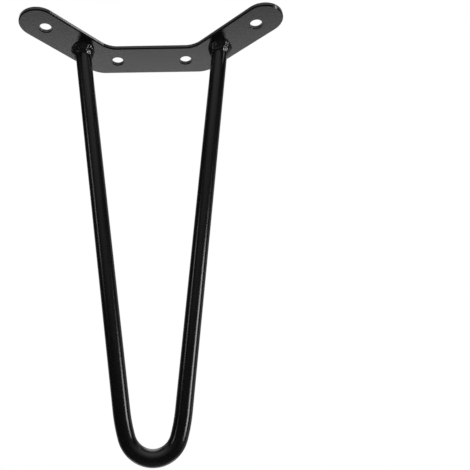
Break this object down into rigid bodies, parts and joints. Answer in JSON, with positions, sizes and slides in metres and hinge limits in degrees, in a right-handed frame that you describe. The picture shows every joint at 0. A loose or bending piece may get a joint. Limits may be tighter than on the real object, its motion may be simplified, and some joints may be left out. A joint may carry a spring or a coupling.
{
  "type": "hairpin table leg",
  "caption": "Hairpin furniture leg: a round steel rod bent to a narrow V, its ends welded under a flat C-shaped screw plate, leaning outwards, powder coated black.",
  "frame": {"origin": "middle of the plate's straight bar, on the top face that bears on the tabletop", "axes": "+Z out of the top face towards the table, +X along the bar, +Y outwards, the way the foot leans; the leg hangs down to z = -0.305"},
  "size_m": [0.1938, 0.1019, 0.305],
  "materials": {
    "plate_coat": "satin black powder coat",
    "rod_coat": "satin black powder coat",
    "weld_coat": "semi-gloss black powder coat"
  },
  "bodies": {
    "root": {"mounting_plate": "plate_coat", "hairpin_rod": "rod_coat", "weld_bead_left": "weld_coat", "weld_bead_right": "weld_coat"}
  },
  "joints": []
}
